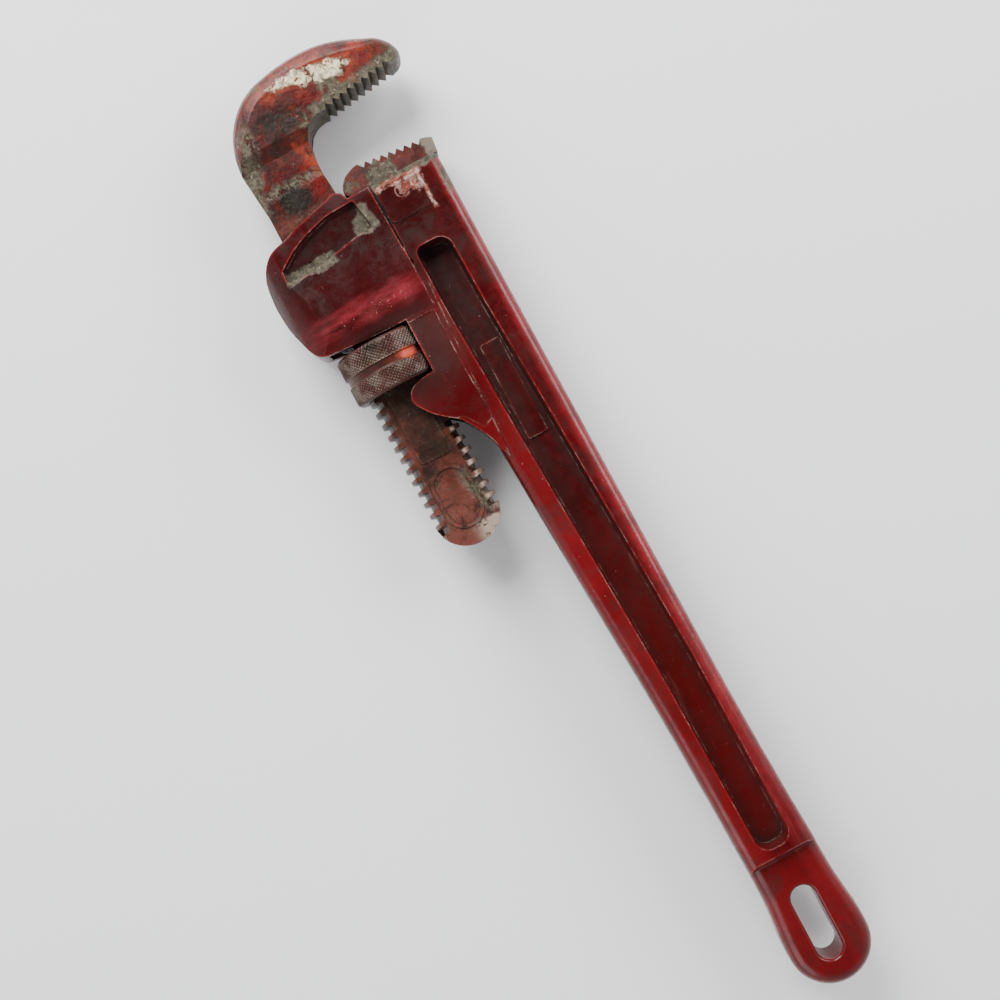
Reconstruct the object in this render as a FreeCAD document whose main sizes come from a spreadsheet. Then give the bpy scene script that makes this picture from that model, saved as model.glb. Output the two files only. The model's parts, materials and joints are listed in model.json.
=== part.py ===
import FreeCAD, Part
import Sketcher
import math
import os

from FreeCAD import Placement, Rotation, Vector

# An adjustable pipe wrench, 18 in nominal, lying on its broad side.
# +X runs along the handle towards the jaws, +Y towards the hook jaw's side, +Z up.
# The origin is the middle of the heel jaw's toothed face, in the wrench's mid-plane.

DIMENSIONS = {
    # shank, thread and nut
    "axis_y": 38.75,
    "pitch": 4.8,
    "shank_radius": 13.25,
    "thread_depth": 2.0,
    "shank_thick": 15.0,
    "shank_end_x": -145.5,
    "thread_start_x": -135.8,
    "thread_length": 100.8,
    "nut_x": -69.75,
    "nut_length": 19.3,
    "nut_radius": 17.25,
    "nut_bore_radius": 11.55,
    "thread_play": 0.25,
    "oval_rise": 0.45,
    "band_depth": 0.8,
    "band_start": -1.85,
    "band_end": 1.65,
    # jaws
    "jaw_thick": 21.0,
    "crown_round": 8.0,
    "ramp_slope": 1.75,
    "hook_teeth": 9.0,
    "heel_teeth": 8.0,
    "tooth_depth": 1.9,
    "tang_thick": 12.0,
    "pin_radius": 2.5,
    "pin_x": -15.5,
    "pin_y": 3.2,
    # handle
    "flange_thick": 24.0,
    "flange_round": 4.5,
    "web_thick": 8.0,
    "panel_rise": 0.6,
    "beam_start_x": -303.0,
    "cheek_step": 0.4,
    "eye_thick": 19.0,
    "eye_radius": 16.1,
    "eye_x": -340.2,
    "eye_y": -5.9,
    "slot_radius": 5.05,
    "slot_start_x": -340.9,
    "slot_end_x": -320.7,
    "slot_round": 1.2,
    "eye_round": 5.0,
    "passage_thick": 16.0,
    "passage_floor_y": 25.3,
    "roof_y": 56.4,
    "channel_floor_y": 23.2,
    "window_start_x": -80.6,
    "window_end_x": -58.9,
    "window_radius": 18.2,
    "housing_base_y": 12.6,
    "housing_top_y": 66.0,
    "rim_pocket_depth": 2.8,
    "heel_pad_rise": 0.9,
    "heel_pad_round": 0.7,
    "seam_depth": 1.6,
    "trim_length": 140.0,
    # springs and rivet
    "coil_x": -91.5,
    "coil_radius": 3.0,
    "coil_wire": 1.0,
    "coil_pitch": 2.0,
    "coil_floor_y": 14.6,
    "coil_pocket_radius": 4.1,
    "leaf_width": 11.0,
    "leaf_thick": 0.9,
    "rivet_x": -45.0,
    "rivet_radius": 1.9,
    "rivet_top_y": 63.0,
}

doc = FreeCAD.newDocument("pipe_wrench")


def make_sheet():
    sheet = doc.addObject("Spreadsheet::Sheet", "Dimensions")
    for row, (alias, value) in enumerate(DIMENSIONS.items(), start=1):
        sheet.set("A%d" % row, alias)
        sheet.set("B%d" % row, str(value))
        sheet.setAlias("B%d" % row, alias)
    doc.recompute()
    return sheet


sheet = make_sheet()


def size(alias):
    return float(getattr(sheet, alias))


def bind(thing, prop, formula):
    """Bind a property to the sheet; every alias in the formula is written with a leading @."""
    thing.setExpression(prop, formula.replace("@", "Dimensions."))


# ---------------------------------------------------------------- building helpers

def new_body(name):
    body = doc.addObject("PartDesign::Body", name)
    body.Label = name
    return body


def origin_part(body, role):
    return next(o for o in body.Origin.OriginFeatures if o.Role == role)


def new_sketch(body, name, role="XY_Plane", offset=0.0):
    sketch = body.newObject("Sketcher::SketchObject", name)
    sketch.AttachmentSupport = [(origin_part(body, role), "")]
    sketch.MapMode = "FlatFace"
    sketch.AttachmentOffset = Placement(Vector(0, 0, offset), Rotation())
    return sketch


def add_loop(sketch, runs):
    """Closed loop of runs: two points make a line, more make a smooth curve through them."""
    first = sketch.GeometryCount
    for run in runs:
        points = [Vector(x, y, 0) for x, y in run]
        if len(points) == 2:
            sketch.addGeometry(Part.LineSegment(points[0], points[1]), False)
        else:
            curve = Part.BSplineCurve()
            curve.interpolate(points)
            sketch.addGeometry(curve, False)
    count = len(runs)
    for i in range(count):
        sketch.addConstraint(Sketcher.Constraint("Coincident", first + i, 2, first + (i + 1) % count, 1))


def add_polygon(sketch, corners):
    """Closed polygon; a corner with a third number is rounded to that radius."""
    count = len(corners)
    starts, ends, arcs = [], [], []
    for i, corner in enumerate(corners):
        here = Vector(corner[0], corner[1], 0)
        radius = corner[2] if len(corner) > 2 else 0.0
        before = Vector(*corners[i - 1][:2], 0)
        after = Vector(*corners[(i + 1) % count][:2], 0)
        if radius == 0.0:
            starts.append(here)
            ends.append(here)
            arcs.append(None)
            continue
        to_before = (before - here).normalize()
        to_after = (after - here).normalize()
        half = to_before.getAngle(to_after) / 2
        reach = radius / math.tan(half)
        middle = here + (to_before + to_after).normalize() * (radius / math.sin(half) - radius)
        starts.append(here + to_before * reach)
        ends.append(here + to_after * reach)
        arcs.append(Part.Arc(starts[-1], middle, ends[-1]))
    for i in range(count):
        if arcs[i] is not None:
            sketch.addGeometry(arcs[i], False)
        following = starts[(i + 1) % count]
        if (following - ends[i]).Length > 1e-6:
            sketch.addGeometry(Part.LineSegment(ends[i], following), False)


def add_circle(sketch, x, y, radius, x_formula, y_formula, radius_formula):
    """A circle whose centre and radius are driven by the sheet."""
    index = sketch.addGeometry(Part.Circle(Vector(x, y, 0), Vector(0, 0, 1), radius), False)
    for kind, formula, value in (
        ("DistanceX", x_formula, x),
        ("DistanceY", y_formula, y),
        ("Radius", radius_formula, radius),
    ):
        if kind == "Radius":
            number = sketch.addConstraint(Sketcher.Constraint(kind, index, value))
        else:
            number = sketch.addConstraint(Sketcher.Constraint(kind, -1, 1, index, 3, value))
        bind(sketch, "Constraints[%d]" % number, formula)


def pad(body, name, sketch, formula, midplane=True, reverse=False):
    feature = body.newObject("PartDesign::Pad", name)
    feature.Profile = sketch
    feature.Midplane = midplane
    feature.Reversed = reverse
    bind(feature, "Length", formula)
    doc.recompute()


def volume_of(body):
    return body.Shape.Volume if not body.Shape.isNull() else 0.0


def pocket(body, name, sketch, formula, midplane=True, reverse=False, through=False, taper=0.0):
    before = volume_of(body)
    feature = body.newObject("PartDesign::Pocket", name)
    feature.Profile = sketch
    feature.Midplane = midplane
    feature.Reversed = reverse
    if through:
        feature.Type = 1
    else:
        bind(feature, "Length", formula)
    feature.TaperAngle = taper
    doc.recompute()
    if volume_of(body) > before - 0.1:
        raise RuntimeError("%s cut nothing (%s)" % (name, feature.getStatusString()))


def round_edges(body, name, chosen, formula):
    """Fillet the edges of the body's present shape for which chosen(edge) is true."""
    base = body.Tip
    names = ["Edge%d" % (i + 1) for i, edge in enumerate(base.Shape.Edges) if chosen(edge)]
    feature = body.newObject("PartDesign::Fillet", name)
    feature.Base = (base, names)
    bind(feature, "Radius", formula)
    doc.recompute()


def middle_of(edge):
    return edge.valueAt((edge.FirstParameter + edge.LastParameter) / 2)


def saw_teeth(start, end, count, depth):
    """Points of a row of teeth: tips lie on the line from start to end, roots to its right."""
    x_step = (end[0] - start[0]) / count
    y_step = (end[1] - start[1]) / count
    length = math.hypot(x_step, y_step)
    inward = (y_step / length * depth, -x_step / length * depth)
    points = [start]
    for i in range(count):
        root = (start[0] + (i + 0.62) * x_step + inward[0], start[1] + (i + 0.62) * y_step + inward[1])
        points.append(root)
        points.append((start[0] + (i + 1) * x_step, start[1] + (i + 1) * y_step))
    return points


def line_runs(points):
    return [[points[i], points[i + 1]] for i in range(len(points) - 1)]


def cut_helix(body, name, profile_points, length_formula):
    """Right-handed helical groove about the body's own X axis."""
    before = volume_of(body)
    sketch = new_sketch(body, name + "_profile")
    add_polygon(sketch, profile_points)
    helix = body.newObject("PartDesign::SubtractiveHelix", name)
    helix.Profile = sketch
    helix.ReferenceAxis = (origin_part(body, "X_Axis"), [""])
    helix.Mode = 0
    bind(helix, "Pitch", "@pitch")
    bind(helix, "Height", length_formula)
    helix.LeftHanded = False
    doc.recompute()
    if volume_of(body) > before - 0.1:
        raise RuntimeError(name + " cut nothing")


# ---------------------------------------------------------------- hook jaw

HOOK_CROWN = [
    (18.0, 15.2), (23.5, 14.8), (29.0, 13.4), (34.0, 11.2), (39.0, 7.7), (43.2, 3.2),
    (46.3, -2.2), (48.3, -8.8), (49.6, -16.2), (50.2, -23.8), (50.0, -29.8), (49.0, -36.0),
    (47.0, -42.3), (44.2, -48.8), (41.3, -54.2), (38.0, -57.4), (34.6, -59.1), (31.8, -59.3),
    (29.8, -58.0), (29.1, -55.9),
]
# share of the full crown rounding that each of those points gets
CROWN_SHARE = [
    0.25, 0.45, 0.65, 0.85, 1.0, 1.0, 1.0, 1.0, 1.0, 1.0, 1.0, 1.0, 0.92, 0.75, 0.55, 0.42, 0.34,
    0.28, 0.2, 0.1,
]
HOOK_TOOTH_FIRST = (29.2, -54.2)
HOOK_TOOTH_LAST = (25.0, -24.6)
HOOK_THROAT = [(25.3, -23.6), (25.0, -20.6), (23.9, -17.9), (22.4, -15.8), (18.0, -13.4)]
HOOK_LEVELS = (1.5, 5.0, 7.5, 9.2, 10.1, 10.5)


def crown_inset(height):
    """How far the crown is drawn in at this height above the mid-plane, for a full share."""
    radius = size("crown_round")
    into = height - (size("jaw_thick") / 2 - radius)
    if into <= 0:
        return 0.0
    return radius - math.sqrt(radius * radius - min(into, 0.985 * radius) ** 2)


def cut_short(points, limit_x):
    """The points beyond limit_x, led by one at limit_x on the line between its neighbours."""
    for i in range(1, len(points)):
        if points[i][0] > limit_x:
            share = (limit_x - points[i - 1][0]) / (points[i][0] - points[i - 1][0])
            first = (limit_x, points[i - 1][1] + share * (points[i][1] - points[i - 1][1]))
            return [first] + points[i:]


def hook_runs(height):
    """Side outline of the hook at one height above or below the mid-plane."""
    inset = crown_inset(height)
    step = max(0.0, height - size("shank_thick") / 2) * size("ramp_slope")
    crown = []
    for i, (x, y) in enumerate(HOOK_CROWN):
        before = HOOK_CROWN[max(i - 1, 0)]
        after = HOOK_CROWN[min(i + 1, len(HOOK_CROWN) - 1)]
        along = Vector(after[0] - before[0], after[1] - before[1], 0).normalize()
        shift = inset * CROWN_SHARE[i]
        crown.append((x + along.y * shift, y - along.x * shift))
    crown = cut_short(crown, HOOK_CROWN[0][0] + step)
    throat = cut_short(HOOK_THROAT[::-1], HOOK_CROWN[0][0] + step)[::-1]
    teeth = saw_teeth(HOOK_TOOTH_FIRST, HOOK_TOOTH_LAST, int(size("hook_teeth")), size("tooth_depth"))
    runs = [crown, [crown[-1], teeth[0]]]
    runs += line_runs(teeth)
    runs += [[teeth[-1], throat[0]], throat, [throat[-1], crown[0]]]
    return runs


def add_hook(body):
    """Hook with a rounded crown: one loft through side outlines at several heights."""
    sections = []
    heights = [-level for level in reversed(HOOK_LEVELS)] + list(HOOK_LEVELS)
    for number, height in enumerate(heights):
        sketch = new_sketch(body, "hook_outline_%d" % number, "XY_Plane", height)
        add_loop(sketch, hook_runs(abs(height)))
        sections.append(sketch)
    loft = body.newObject("PartDesign::AdditiveLoft", "hook")
    loft.Profile = sections[0]
    loft.Sections = sections[1:]
    loft.Ruled = True
    doc.recompute()


def add_neck(body):
    """Plain bar that slides in the housing, widening a little towards the hook."""
    radius = size("shank_radius")
    sketch = new_sketch(body, "neck_outline")
    add_polygon(sketch, [
        (-34.4, -radius, 1.0), (-3.0, -radius, 4.0), (5.0, -12.5, 8.0), (13.0, -12.6, 8.0), (18.0, -13.4),
        (24.0, -15.0), (24.0, 13.0), (18.0, 15.1), (-1.0, radius, 5.0), (-34.4, radius, 1.0),
    ])
    pad(body, "neck", sketch, "@shank_thick")


def add_threaded_shank(body):
    """Flat bar whose two narrow edges are rounded about the shank's axis."""
    radius = size("shank_radius")
    half = size("shank_thick") / 2
    reach = math.sqrt(radius * radius - half * half)
    sketch = new_sketch(body, "shank_section", "YZ_Plane", size("shank_end_x"))
    sketch.setExpression("AttachmentOffset.Base.z", "Dimensions.shank_end_x")
    for side in (1, -1):
        start = Vector(side * reach, -side * half, 0)
        middle = Vector(side * radius, 0, 0)
        end = Vector(side * reach, side * half, 0)
        sketch.addGeometry(Part.Arc(start, middle, end), False)
        sketch.addGeometry(Part.LineSegment(end, Vector(-side * reach, side * half, 0)), False)
    pad(body, "threaded_shank", sketch, "-24 - @shank_end_x", midplane=False)
    end_x = size("shank_end_x")
    corner = new_sketch(body, "shank_end")
    arc_top = (end_x + radius, radius)
    arc_side = (end_x, 0.0)
    arc_bottom = (end_x + radius, -radius)
    corner.addGeometry(Part.Arc(Vector(*arc_top, 0), Vector(*arc_side, 0), Vector(*arc_bottom, 0)), False)
    outside = [arc_bottom, (end_x + radius, -radius - 2), (end_x - 2, -radius - 2),
               (end_x - 2, radius + 2), (end_x + radius, radius + 2), arc_top]
    for a, b in line_runs(outside):
        corner.addGeometry(Part.LineSegment(Vector(*a, 0), Vector(*b, 0)), False)
    pocket(body, "shank_end_round", corner, "@shank_thick + 2", through=True)


def add_shank_panels(body):
    """Blank oval and blank panel, each slightly raised on both broad faces of the shank."""
    oval = new_sketch(body, "oval_outline")
    add_polygon(oval, [(-138.5, -7.8, 7.6), (-113.5, -7.8, 7.6), (-113.5, 7.8, 7.6), (-138.5, 7.8, 7.6)])
    pad(body, "oval", oval, "@shank_thick + 2 * @oval_rise")
    for side, name in ((1, "upper"), (-1, "lower")):
        cutter = new_sketch(body, "oval_floor_" + name, "XY_Plane", side * size("shank_thick") / 2)
        add_polygon(cutter, [
            (-137.2, -6.5, 6.3), (-114.8, -6.5, 6.3), (-114.8, 6.5, 6.3), (-137.2, 6.5, 6.3),
        ])
        pocket(body, "oval_sunk_" + name, cutter, "2 * @oval_rise", midplane=False, reverse=(side > 0))
    panel = new_sketch(body, "panel_outline")
    add_polygon(panel, [(-109.6, -6.6, 1.5), (-46.0, -6.6, 1.5), (-46.0, 6.4, 1.5), (-109.6, 6.4, 1.5)])
    pad(body, "panel", panel, "@shank_thick + 2 * @oval_rise")


def add_shank_thread(body):
    root = size("shank_radius") - size("thread_depth")
    outer = size("shank_radius") + 0.6
    start = size("thread_start_x")
    cut_helix(body, "thread", [
        (start - 1.1, root), (start + 1.1, root), (start + 1.85, outer), (start - 1.85, outer),
    ], "@thread_length")


def build_hook_jaw():
    body = new_body("hook_jaw")
    add_hook(body)
    add_neck(body)
    add_threaded_shank(body)
    add_shank_thread(body)
    add_shank_panels(body)
    body.setExpression("Placement.Base.y", "Dimensions.axis_y")
    return body


# ---------------------------------------------------------------- adjusting nut

def build_adjusting_nut():
    """Round nut with two broad grip bands; its thread meets the shank's edges."""
    body = new_body("adjusting_nut")
    half = size("nut_length") / 2
    outer = size("nut_radius")
    bore = size("nut_bore_radius")
    low = outer - size("band_depth")
    start, end = size("band_start"), size("band_end")
    sketch = new_sketch(body, "nut_section")
    add_polygon(sketch, [
        (-half, bore + 1.6), (-half, outer - 1.1), (-half + 1.1, outer), (start, outer), (start + 0.6, low),
        (end - 0.6, low), (end, outer), (half - 1.1, outer), (half, outer - 1.1), (half, bore + 1.6),
        (half - 1.6, bore), (-half + 1.6, bore),
    ])
    turned = body.newObject("PartDesign::Revolution", "nut_blank")
    turned.Profile = sketch
    turned.ReferenceAxis = (origin_part(body, "X_Axis"), [""])
    turned.Angle = 360
    doc.recompute()
    # the nut's groove takes the shank's tooth, half a pitch from the shank's own groove
    pitch = size("pitch")
    play = size("thread_play")
    local = (size("thread_start_x") + pitch / 2 - size("nut_x") + half) % pitch - half - pitch
    tip = pitch / 2 - 1.85 * 0.82 + play
    root = pitch / 2 - 1.1 + play
    top = size("shank_radius") + play
    cut_helix(body, "thread", [
        (local - root, bore - 0.6), (local + root, bore - 0.6), (local + tip, top), (local - tip, top),
    ], "@nut_length + 2 * @pitch")
    body.setExpression("Placement.Base.x", "Dimensions.nut_x")
    body.setExpression("Placement.Base.y", "Dimensions.axis_y")
    return body


# ---------------------------------------------------------------- heel jaw and pin

def build_heel_jaw():
    """Toothed block in front of the handle, with a narrower tang between the handle's cheeks."""
    body = new_body("heel_jaw")
    teeth = saw_teeth((1.2, 13.4), (-1.3, -11.8), int(size("heel_teeth")), size("tooth_depth"))
    corner = [(-6.6, 22.9), (-3.4, 21.9), (-1.0, 19.7), (0.4, 17.0), (1.1, 14.6)]
    sketch = new_sketch(body, "block_outline")
    runs = [corner, [corner[-1], teeth[0]]]
    runs += line_runs(teeth)
    runs += line_runs([teeth[-1], (-1.9, -14.0), (-2.8, -16.1), (-8.4, -15.6), (-8.4, 21.0), (-6.6, 22.9)])
    add_loop(sketch, runs)
    pad(body, "block", sketch, "@jaw_thick")
    tang = new_sketch(body, "tang_outline")
    add_polygon(tang, [(-25.6, -14.9, 1.5), (-6.0, -14.9), (-6.0, 15.6), (-25.6, 14.4, 2.0)])
    pad(body, "tang", tang, "@tang_thick")
    hole = new_sketch(body, "pin_hole")
    add_circle(hole, size("pin_x"), size("pin_y"), size("pin_radius") + 0.02, "@pin_x", "@pin_y",
               "@pin_radius + 0.02")
    pocket(body, "pin_bore", hole, "@jaw_thick", through=True)
    return body


def build_heel_jaw_pin():
    pin = doc.addObject("Part::Cylinder", "heel_jaw_pin")
    pin.Label = "heel_jaw_pin"
    bind(pin, "Radius", "@pin_radius")
    bind(pin, "Height", "@flange_thick + 2 * @heel_pad_rise - 0.2")
    bind(pin, "Placement.Base.x", "@pin_x")
    bind(pin, "Placement.Base.y", "@pin_y")
    bind(pin, "Placement.Base.z", "-(@flange_thick + 2 * @heel_pad_rise - 0.2) / 2")
    return pin


# ---------------------------------------------------------------- handle

BACK_EDGE = [
    (-281.0, -18.4), (-241.0, -17.2), (-200.0, -16.6), (-121.0, -15.9), (-60.0, -15.3), (-8.5, -15.0),
]
GRIP_EDGE = [(-118.0, 16.1), (-156.0, 14.5), (-200.0, 12.2), (-239.0, 10.3), (-281.0, 9.1)]
NOSE = [(-8.5, 16.6), (-30.0, 13.4), (-60.0, 14.0), (-118.0, 16.1)]


def add_beam(body):
    """I-beam blank: a straight back, and a grip edge that rises towards the head."""
    face_z = size("flange_thick") / 2
    sketch = new_sketch(body, "beam_outline")
    start_back = (size("beam_start_x"), -19.4)
    start_grip = (size("beam_start_x"), 8.7)
    back = [start_back] + BACK_EDGE
    grip = GRIP_EDGE + [start_grip]
    runs = [back, [back[-1], NOSE[0]]]
    runs += line_runs(NOSE)
    runs += [grip, [start_grip, start_back]]
    add_loop(sketch, runs)
    pad(body, "beam", sketch, "@flange_thick")

    def flange_edge(edge):
        spot = middle_of(edge)
        return abs(abs(spot.z) - face_z) < 0.01 and edge.Length > 100 and abs(spot.y) > 8.8

    round_edges(body, "flange_round", flange_edge, "@flange_round")
    bevel = new_sketch(body, "beam_end_outline", "XZ_Plane")
    for side in (1, -1):
        low, high = side * 9.55, side * 14.0
        add_polygon(bevel, [(-306.0, low), (-306.0, high), (-299.6, high), (-303.4, low)])
    pocket(body, "beam_end", bevel, "@trim_length")


def add_eye(body):
    """Rounded end with a hanging slot, thinner than the beam."""
    left = size("eye_x") - size("eye_radius")
    low = size("eye_y") - size("eye_radius")
    high = size("eye_y") + size("eye_radius")
    turn = size("eye_radius") - 0.02
    sketch = new_sketch(body, "eye_outline")
    add_polygon(sketch, [
        (left, low, turn), (-334.0, low, 50.0), (-317.0, -20.0, 50.0), (-296.0, -19.1), (-296.0, 8.8),
        (-317.0, 8.6, 50.0), (-334.0, high, 50.0), (left, high, turn),
    ])
    pad(body, "eye", sketch, "@eye_thick")
    face_z = size("eye_thick") / 2

    def rim_edge(edge):
        spot = middle_of(edge)
        return abs(abs(spot.z) - face_z) < 0.01 and spot.x < -297

    round_edges(body, "eye_round", rim_edge, "@eye_round")
    slot_radius = size("slot_radius")
    a, b = size("slot_start_x"), size("slot_end_x")
    slot = new_sketch(body, "slot_outline")
    add_polygon(slot, [
        (a - slot_radius, -10.1, slot_radius - 0.02), (b + slot_radius, -10.1, slot_radius - 0.02),
        (b + slot_radius, 0.0, slot_radius - 0.02), (a - slot_radius, 0.0, slot_radius - 0.02),
    ])
    pocket(body, "hang_slot", slot, "@eye_thick", through=True)

    def slot_edge(edge):
        spot = middle_of(edge)
        return abs(abs(spot.z) - face_z) < 0.01 and -12 < spot.y < 2 and -350 < spot.x < -312

    round_edges(body, "slot_round", slot_edge, "@slot_round")


def add_head(body):
    """Cheek between the beam, the ledge behind the nut and the housing."""
    sketch = new_sketch(body, "head_outline")
    runs = [
        [(-122.0, 14.0), (-118.0, 15.9)],
        [(-118.0, 15.9), (-113.0, 17.2), (-107.0, 20.2), (-102.2, 23.2)],
        [(-102.2, 23.2), (-98.8, 27.2), (-95.8, 31.0), (-91.6, 34.6), (-86.6, 36.8), (-83.6, 35.6),
         (-81.6, 32.2), (-80.7, 27.6)],
        [(-80.7, 27.6), (-54.0, 27.6)],
        [(-54.0, 27.6), (-40.0, 10.0)],
        [(-40.0, 10.0), (-122.0, 14.0)],
    ]
    add_loop(sketch, runs)
    pad(body, "head", sketch, "@flange_thick")


def add_housing(body):
    """Housing round the shank: barrel-shaped cheeks, then its side outline cut to shape."""
    sketch = new_sketch(body, "housing_section", "XZ_Plane", -size("housing_base_y"))
    sketch.setExpression("AttachmentOffset.Base.z", "-Dimensions.housing_base_y")
    cheek = [
        (-61.8, 10.6), (-59.2, 11.7), (-56.4, 12.9), (-52.5, 14.0), (-47.5, 14.6), (-41.0, 14.5),
        (-34.0, 13.9), (-26.0, 13.2), (-16.0, 13.0), (-3.6, 12.6),
    ]
    other = [(x, -z) for x, z in reversed(cheek)]
    add_loop(sketch, [cheek, [cheek[-1], other[0]], other, [other[-1], cheek[0]]])
    pad(body, "housing", sketch, "@housing_top_y - @housing_base_y", midplane=False, reverse=True)


HOUSING_OUTLINE = [
    (-58.8, 24.0), (-58.6, 40.0), (-57.9, 50.0), (-57.3, 56.0), (-56.7, 58.8), (-54.6, 60.9), (-51.4, 62.3),
    (-46.4, 63.9), (-41.5, 65.1), (-36.5, 65.7), (-31.6, 65.9), (-26.6, 65.5), (-21.7, 64.5), (-17.6, 62.2),
    (-14.6, 59.0), (-12.9, 55.6), (-11.6, 50.6), (-10.0, 46.0), (-8.2, 40.0), (-6.6, 34.0), (-5.5, 29.5),
]
NOSE_OUTLINE = [(-5.5, 29.5), (-5.0, 25.4), (-6.5, 23.6), (-8.7, 22.8)]


def trim_housing(body):
    sketch = new_sketch(body, "housing_outline")
    runs = [HOUSING_OUTLINE, NOSE_OUTLINE]
    runs += line_runs([NOSE_OUTLINE[-1], (-8.7, 9.0), (6.0, 9.0), (6.0, 80.0), (-64.0, 80.0), (-64.0, 24.0),
                       HOUSING_OUTLINE[0]])
    add_loop(sketch, runs)
    pocket(body, "housing_trim", sketch, "@flange_thick", through=True)
    shoulder = new_sketch(body, "shoulder_outline", "YZ_Plane")
    for side in (1, -1):
        curve = [(44.0, 16.0), (52.0, 14.4), (57.5, 13.0), (61.5, 10.6), (64.4, 7.2), (67.0, 2.0)]
        curve = [(y, side * z) for y, z in curve]
        outside = [curve[-1], (80.0, side * 2.0), (80.0, side * 16.0), curve[0]]
        add_loop(shoulder, [curve] + line_runs(outside))
    pocket(body, "shoulder_trim", shoulder, "@trim_length")


def cut_beam_recess(body):
    """Long recess on each broad face that leaves the web between two flanges."""
    depth = "(@flange_thick - @web_thick) / 2"
    for side, name in ((1, "upper"), (-1, "lower")):
        sketch = new_sketch(body, "recess_outline_" + name, "XY_Plane", side * size("flange_thick") / 2)
        add_polygon(sketch, [
            (-37.0, -4.1, 5.0), (-37.0, 9.5, 3.0), (-62.0, 9.4, 60.0), (-120.0, 7.2, 200.0),
            (-220.0, 2.9, 200.0), (-298.0, 1.4, 5.5), (-298.0, -12.2, 5.5), (-220.0, -11.2, 200.0),
            (-120.0, -7.2, 200.0), (-66.0, -4.7, 60.0),
        ])
        pocket(body, "recess_" + name, sketch, depth, midplane=False, reverse=(side < 0), taper=-8.0)


def add_name_panel(body):
    sketch = new_sketch(body, "name_panel_outline")
    add_polygon(sketch, [(-119.8, -3.3, 0.8), (-80.0, -3.3, 0.8), (-80.0, 4.7, 0.8), (-119.8, 4.7, 0.8)])
    pad(body, "name_panel", sketch, "@web_thick + 2 * @panel_rise")


def cut_cheek_details(body):
    """Stepped cheek above the beam, and the pocket behind the housing's front rim."""
    step = [(-108.0, 17.4), (-101.0, 22.2), (-96.0, 40.0), (-60.4, 40.0), (-60.4, 13.6), (-84.0, 13.8, 30.0),
            (-106.0, 12.9, 2.0)]
    rim = [
        (-27.2, 57.4, 1.6), (-27.6, 47.6, 6.0), (-25.3, 36.0, 10.0), (-23.5, 26.5, 8.0), (-22.8, 18.6, 1.2),
        (-9.9, 21.0, 1.2), (-10.4, 33.0, 8.0), (-13.2, 43.0, 8.0), (-16.4, 50.0, 6.0), (-21.4, 57.4, 1.6),
    ]
    for side, name in ((1, "upper"), (-1, "lower")):
        face_z = side * size("flange_thick") / 2
        sketch = new_sketch(body, "step_outline_" + name, "XY_Plane", face_z)
        add_polygon(sketch, step)
        pocket(body, "cheek_step_" + name, sketch, "@cheek_step", midplane=False, reverse=(side < 0))
        sketch = new_sketch(body, "rim_outline_" + name, "XY_Plane", side * 15.5)
        add_polygon(sketch, rim)
        pocket(body, "rim_pocket_" + name, sketch, "2.5 + @rim_pocket_depth", midplane=False,
               reverse=(side < 0), taper=-10.0)


def add_heel_pads(body):
    """Raised pad on each cheek, over the ends of the heel jaw's pin."""
    face_z = size("flange_thick") / 2 + size("heel_pad_rise")
    sketch = new_sketch(body, "heel_pad_outline")
    add_polygon(sketch, [(-25.5, -5.7, 2.0), (-10.4, -5.7, 1.2), (-10.4, 12.3, 0.8), (-25.5, 12.3, 2.0)])
    pad(body, "heel_pad", sketch, "@flange_thick + 2 * @heel_pad_rise")

    def pad_edge(edge):
        spot = middle_of(edge)
        return abs(abs(spot.z) - face_z) < 0.01 and spot.x > -26 and spot.y < 12.4

    round_edges(body, "heel_pad_round", pad_edge, "@heel_pad_round")


def cut_seam(body):
    """Narrow seam between the housing's nose above and the heel jaw's cheeks below."""
    start_z = size("flange_thick") / 2 + 2.0
    for side, name in ((1, "upper"), (-1, "lower")):
        sketch = new_sketch(body, "seam_outline_" + name, "XY_Plane", side * start_z)
        add_polygon(sketch, [
            (-39.0, 12.3), (-22.0, 12.4), (-8.0, 12.6), (-8.0, 13.8), (-22.0, 13.4), (-39.0, 12.9),
        ])
        pocket(body, "seam_" + name, sketch, "@seam_depth + 2", midplane=False, reverse=(side < 0))


def cut_moving_room(body):
    """Passage, rear channel and window that the shank and the nut move in."""
    passage = new_sketch(body, "passage_outline")
    floor, roof = size("passage_floor_y"), size("roof_y")
    add_polygon(passage, [(-62.0, floor), (8.0, floor), (8.0, roof), (-62.0, roof)])
    pocket(body, "passage", passage, "@passage_thick")
    channel = new_sketch(body, "channel_outline")
    low = size("channel_floor_y")
    add_polygon(channel, [(-112.0, low), (-78.0, low), (-78.0, 60.0), (-112.0, 60.0)])
    pocket(body, "channel", channel, "@passage_thick")
    start, end = size("window_start_x"), size("window_end_x")
    window = new_sketch(body, "window_outline")
    add_polygon(window, [(start, 24.6), (end, 24.6), (end, 60.0), (start, 60.0)])
    pocket(body, "window", window, "@flange_thick + 12", through=True)
    ring = new_sketch(body, "window_floor", "YZ_Plane", end)
    ring.setExpression("AttachmentOffset.Base.z", "Dimensions.window_end_x")
    add_circle(ring, size("axis_y"), 0.0001, size("window_radius"), "@axis_y", "0.0001", "@window_radius")
    pocket(body, "window_round", ring, "@window_end_x - @window_start_x", midplane=False)


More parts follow.
